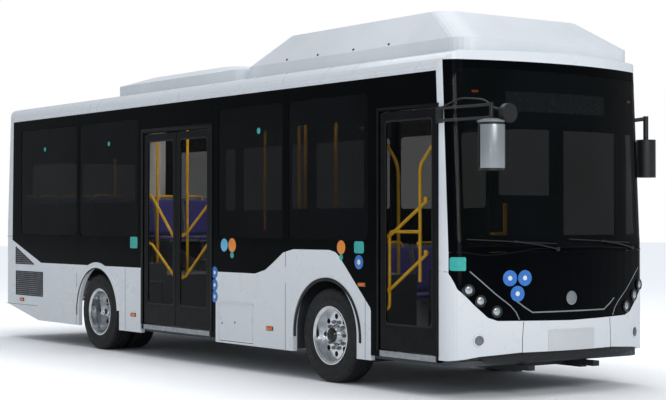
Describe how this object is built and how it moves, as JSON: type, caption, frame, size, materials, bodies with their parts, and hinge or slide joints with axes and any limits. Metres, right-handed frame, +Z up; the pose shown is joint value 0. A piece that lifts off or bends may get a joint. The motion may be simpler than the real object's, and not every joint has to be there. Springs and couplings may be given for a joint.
{
  "type": "electric city bus",
  "caption": "Low-floor electric city bus with white body, dark glazing band, roof pods, inward-swinging doors, steered front wheels and twin rear wheels.",
  "frame": {"origin": "on the ground, half way along the overall length and width", "axes": "+X forward along the bus, +Y to its left, +Z up"},
  "size_m": [10.613, 2.92, 3.635],
  "materials": {
    "white_paint": "gloss",
    "black_gloss": "gloss",
    "tinted_glass": "polished",
    "floor_vinyl": "matte",
    "chassis_black": "satin",
    "black_rubber": "matte",
    "grey_metal": "satin",
    "seat_plastic": "satin",
    "seat_fabric": "woven",
    "yellow_paint": "gloss",
    "dash_plastic": "matte",
    "cast_black": "rough",
    "polished_rim": "polished",
    "tyre_rubber": "matte",
    "door_steel": "brushed",
    "lamp_glass": "polished",
    "mirror_plastic": "satin"
  },
  "bodies": {
    "body": {"roof": "white_paint", "roof_pods": "white_paint", "battery_pack": "grey_metal", "right_skirts": "white_paint", "right_window_band": "black_gloss", "left_skirts": "white_paint", "left_window_band": "black_gloss", "window_glass": "tinted_glass", "rear_wall": "white_paint", "front_mask": "black_gloss", "windscreen": "tinted_glass", "front_bumper": "white_paint", "corner_posts": "white_paint", "floor": "floor_vinyl", "chassis_frame": "chassis_black", "air_springs": "black_rubber", "drive_motor": "grey_metal", "seat_shells": "seat_plastic", "seat_pads": "seat_fabric", "handrails": "yellow_paint", "dashboard": "dash_plastic", "front_axle": "cast_black", "rear_axle": "cast_black", "lamps": "lamp_glass", "mirrors": "mirror_plastic"},
    "right_knuckle": {"right_knuckle": "cast_black"},
    "left_knuckle": {"left_knuckle": "cast_black"},
    "steering_wheel": {"steering_wheel": "dash_plastic"},
    "front_right_wheel": {"front_right_rim": "polished_rim", "front_right_tyre": "tyre_rubber"},
    "front_left_wheel": {"front_left_rim": "polished_rim", "front_left_tyre": "tyre_rubber"},
    "rear_right_wheels": {"rear_right_rims": "polished_rim", "rear_right_tyres": "tyre_rubber"},
    "rear_left_wheels": {"rear_left_rims": "polished_rim", "rear_left_tyres": "tyre_rubber"},
    "front_pillar": {"front_door_pillar": "door_steel"},
    "front_leaf": {"front_door": "black_gloss", "front_door_glass": "tinted_glass"},
    "mid_rear_pillar": {"mid_door_rear_pillar": "door_steel"},
    "mid_rear_leaf": {"mid_door_rear": "black_gloss", "mid_door_rear_glass": "tinted_glass"},
    "mid_front_pillar": {"mid_door_front_pillar": "door_steel"},
    "mid_front_leaf": {"mid_door_front": "black_gloss", "mid_door_front_glass": "tinted_glass"},
    "flap": {"charge_flap": "white_paint"},
    "lid": {"rear_lid": "white_paint"}
  },
  "joints": [
    {"name": "right_steer", "type": "hinge", "parent": "body", "child": "right_knuckle", "pos_m": [2.5665, -0.8825, 0.476], "axis": [0, 0, 1], "range_deg": [-35, 35]},
    {"name": "left_steer", "type": "hinge", "parent": "body", "child": "left_knuckle", "pos_m": [2.5665, 0.8825, 0.476], "axis": [0, 0, 1], "range_deg": [-35, 35]},
    {"name": "steering_wheel_turn", "type": "hinge", "parent": "body", "child": "steering_wheel", "pos_m": [4.0459, 0.64, 1.28936], "axis": [-0.5736, 0, 0.8192], "range_deg": [-630, 630]},
    {"name": "front_right_spin", "type": "hinge", "parent": "right_knuckle", "child": "front_right_wheel", "pos_m": [2.5665, -1.0775, 0.476], "axis": [0, 1, 0], "continuous": true},
    {"name": "front_left_spin", "type": "hinge", "parent": "left_knuckle", "child": "front_left_wheel", "pos_m": [2.5665, 1.0775, 0.476], "axis": [0, 1, 0], "continuous": true},
    {"name": "rear_right_spin", "type": "hinge", "parent": "body", "child": "rear_right_wheels", "pos_m": [-2.4835, -1.0775, 0.476], "axis": [0, 1, 0], "continuous": true},
    {"name": "rear_left_spin", "type": "hinge", "parent": "body", "child": "rear_left_wheels", "pos_m": [-2.4835, 1.0775, 0.476], "axis": [0, 1, 0], "continuous": true},
    {"name": "front_door_turn", "type": "hinge", "parent": "body", "child": "front_pillar", "pos_m": [3.4165, -1.172, 1.5], "axis": [0, 0, 1], "range_deg": [0, 82]},
    {"name": "front_door_fold", "type": "hinge", "parent": "front_pillar", "child": "front_leaf", "pos_m": [3.8585, -1.172, 1.5], "axis": [0, 0, -1], "range_deg": [0, 164]},
    {"name": "mid_door_turn", "type": "hinge", "parent": "body", "child": "mid_rear_pillar", "pos_m": [-1.2755, -1.172, 1.5], "axis": [0, 0, 1], "range_deg": [0, 82]},
    {"name": "mid_rear_fold", "type": "hinge", "parent": "mid_rear_pillar", "child": "mid_rear_leaf", "pos_m": [-0.8775, -1.172, 1.5], "axis": [0, 0, -1], "range_deg": [0, 164]},
    {"name": "mid_front_turn", "type": "hinge", "parent": "body", "child": "mid_front_pillar", "pos_m": [0.3285, -1.172, 1.5], "axis": [0, 0, -1], "range_deg": [0, 82]},
    {"name": "mid_front_fold", "type": "hinge", "parent": "mid_front_pillar", "child": "mid_front_leaf", "pos_m": [-0.0695, -1.172, 1.5], "axis": [0, 0, 1], "range_deg": [0, 164]},
    {"name": "charge_flap_hinge", "type": "hinge", "parent": "body", "child": "flap", "pos_m": [0.844, -1.257, 0.728], "axis": [-1, 0, 0], "range_deg": [0, 110]},
    {"name": "rear_lid_hinge", "type": "hinge", "parent": "body", "child": "lid", "pos_m": [-5.3005, 0, 1.423], "axis": [0, 1, 0], "range_deg": [0, 75]}
  ],
  "couplings": [
    {"joint": "left_steer", "follows": "right_steer", "ratio": 1},
    {"joint": "steering_wheel_turn", "follows": "right_steer", "ratio": 18},
    {"joint": "front_door_fold", "follows": "front_door_turn", "ratio": 2},
    {"joint": "mid_rear_fold", "follows": "mid_door_turn", "ratio": 2},
    {"joint": "mid_front_turn", "follows": "mid_door_turn", "ratio": 1},
    {"joint": "mid_front_fold", "follows": "mid_door_turn", "ratio": 2}
  ]
}
